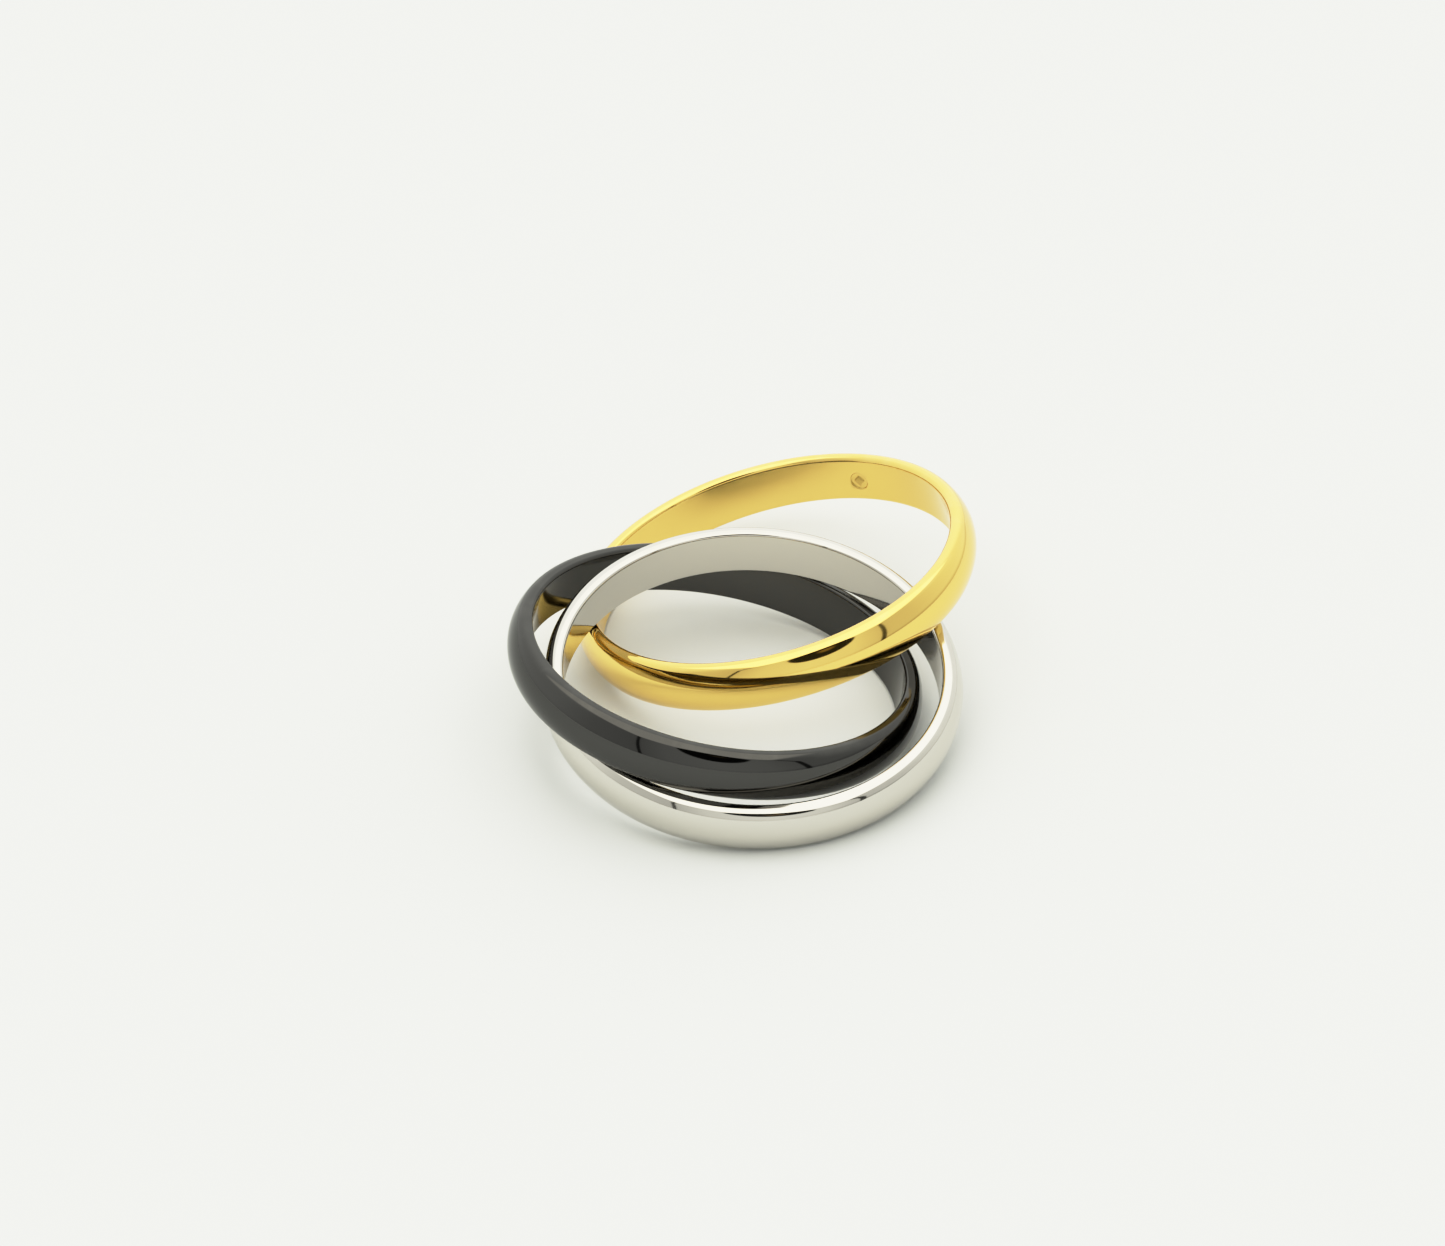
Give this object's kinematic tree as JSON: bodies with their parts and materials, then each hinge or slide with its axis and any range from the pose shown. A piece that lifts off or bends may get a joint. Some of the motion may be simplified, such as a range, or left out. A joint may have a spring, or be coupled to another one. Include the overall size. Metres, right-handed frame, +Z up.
{
  "type": "interlinked finger ring",
  "caption": "Rolling finger ring of linked domed bands in yellow gold, black and silver colours, lying fanned out on a flat surface.",
  "frame": {"origin": "middle of the whole set's box, on the surface that the bands lie on", "axes": "+Z up; the gold band lies towards +Y, the silver and black bands towards -Y, and the black band stands out towards -X"},
  "size_m": [0.0238, 0.0292, 0.0074],
  "materials": {
    "silver_metal": "mirror polished silver-coloured steel",
    "black_metal": "mirror polished steel with a thin hard black coating",
    "gold_metal": "mirror polished yellow gold colour"
  },
  "bodies": {
    "silver": {"silver_band": "silver_metal"},
    "black": {"black_band": "black_metal"},
    "gold": {"gold_band": "gold_metal"}
  },
  "joints": [
    {"name": "black_tilt", "type": "hinge", "parent": "silver", "child": "black", "pos_m": [0.00756, 0.00028, 0.00223], "axis": [-0.6237, 0.7817, 0], "range_deg": [0, 50]},
    {"name": "gold_tilt", "type": "hinge", "parent": "silver", "child": "gold", "pos_m": [-0.00854, 0.00682, 0.00137], "axis": [0.3322, -0.9432, 0], "range_deg": [0, 50]}
  ]
}
